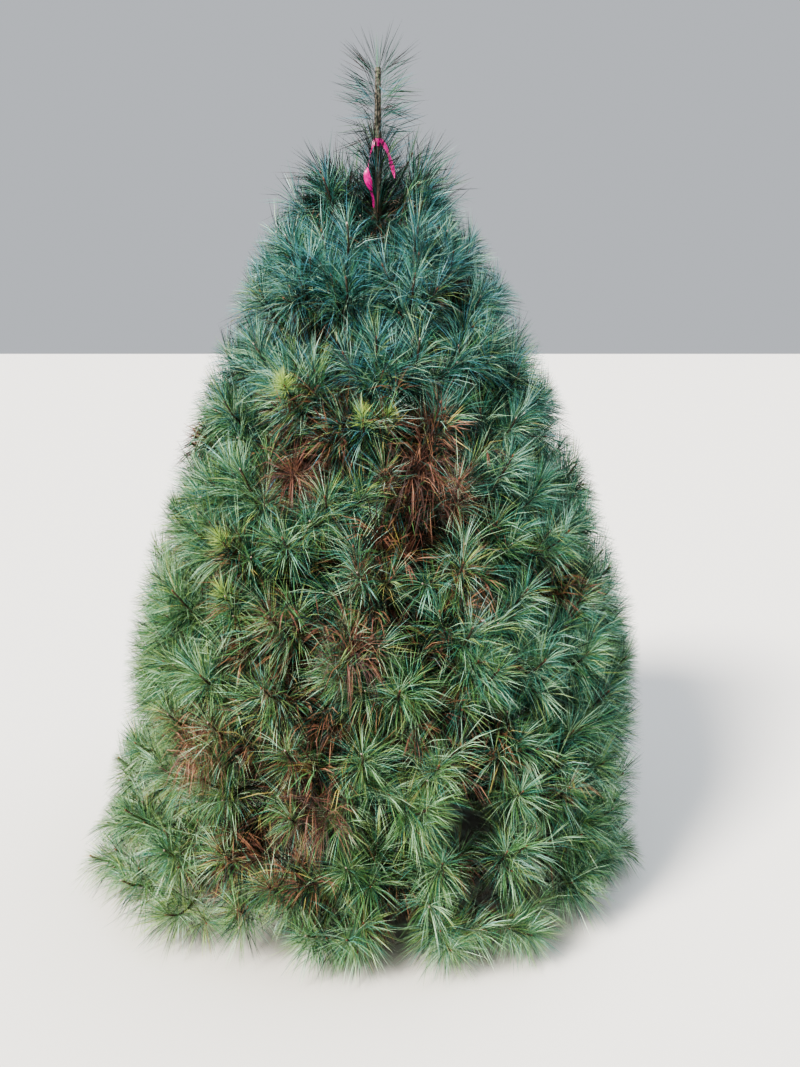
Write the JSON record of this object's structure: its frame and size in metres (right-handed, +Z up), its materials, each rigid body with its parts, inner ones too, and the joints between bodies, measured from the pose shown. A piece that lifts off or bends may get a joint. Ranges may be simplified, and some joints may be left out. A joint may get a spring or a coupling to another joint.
{
  "type": "clipped pine tree",
  "caption": "Young white pine clipped to a full cone and rooted in the ground, its boughs in whorls round one trunk that ends in a leader.",
  "frame": {"origin": "centre of the trunk's flat cut at ground level", "axes": "+Z up along the trunk, -Y towards the side that the picture shows, +X to the right in the picture"},
  "size_m": [1.7129, 1.544, 2.3371],
  "materials": {
    "bark": "rough grey-brown bark",
    "needles_whorl_1": "green needles, light and open",
    "needles_whorl_2": "green needles, light and open",
    "needles_whorl_3": "green needles, light and open",
    "needles_whorl_4": "green needles, light and open",
    "needles_whorl_5": "green needles, light and open",
    "needles_whorl_6": "green needles, light and open",
    "needles_whorl_7": "green needles, light and open",
    "needles_leader": "green needles, light and open"
  },
  "bodies": {
    "root": {"bough_1a": "bark", "bough_1b": "bark", "bough_1c": "bark", "bough_1d": "bark", "bough_1e": "bark", "bough_2a": "bark", "bough_2b": "bark", "bough_2c": "bark", "bough_2d": "bark", "bough_2e": "bark", "bough_3a": "bark", "bough_3b": "bark", "bough_3c": "bark", "bough_3d": "bark", "bough_3e": "bark", "bough_4a": "bark", "bough_4b": "bark", "bough_4c": "bark", "bough_4d": "bark", "bough_4e": "bark", "bough_5a": "bark", "bough_5b": "bark", "bough_5c": "bark", "bough_5d": "bark", "bough_5e": "bark", "foliage_1a": "needles_whorl_1", "foliage_1b": "needles_whorl_1", "foliage_1c": "needles_whorl_1", "foliage_1d": "needles_whorl_1", "foliage_1e": "needles_whorl_1", "foliage_2a": "needles_whorl_2", "foliage_2b": "needles_whorl_2", "foliage_2c": "needles_whorl_2", "foliage_2d": "needles_whorl_2", "foliage_2e": "needles_whorl_2", "foliage_3a": "needles_whorl_3", "foliage_3b": "needles_whorl_3", "foliage_3c": "needles_whorl_3", "foliage_3d": "needles_whorl_3", "foliage_3e": "needles_whorl_3", "foliage_4a": "needles_whorl_4", "foliage_4b": "needles_whorl_4", "foliage_4c": "needles_whorl_4", "foliage_4d": "needles_whorl_4", "foliage_4e": "needles_whorl_4", "foliage_5a": "needles_whorl_5", "foliage_5b": "needles_whorl_5", "foliage_5c": "needles_whorl_5", "foliage_5d": "needles_whorl_5", "foliage_5e": "needles_whorl_5", "foliage_6a": "needles_whorl_6", "foliage_6b": "needles_whorl_6", "foliage_6c": "needles_whorl_6", "foliage_6d": "needles_whorl_6", "foliage_7a": "needles_whorl_7", "foliage_7b": "needles_whorl_7", "foliage_7c": "needles_whorl_7", "foliage_leader": "needles_leader", "trunk": "bark"}
  },
  "joints": []
}
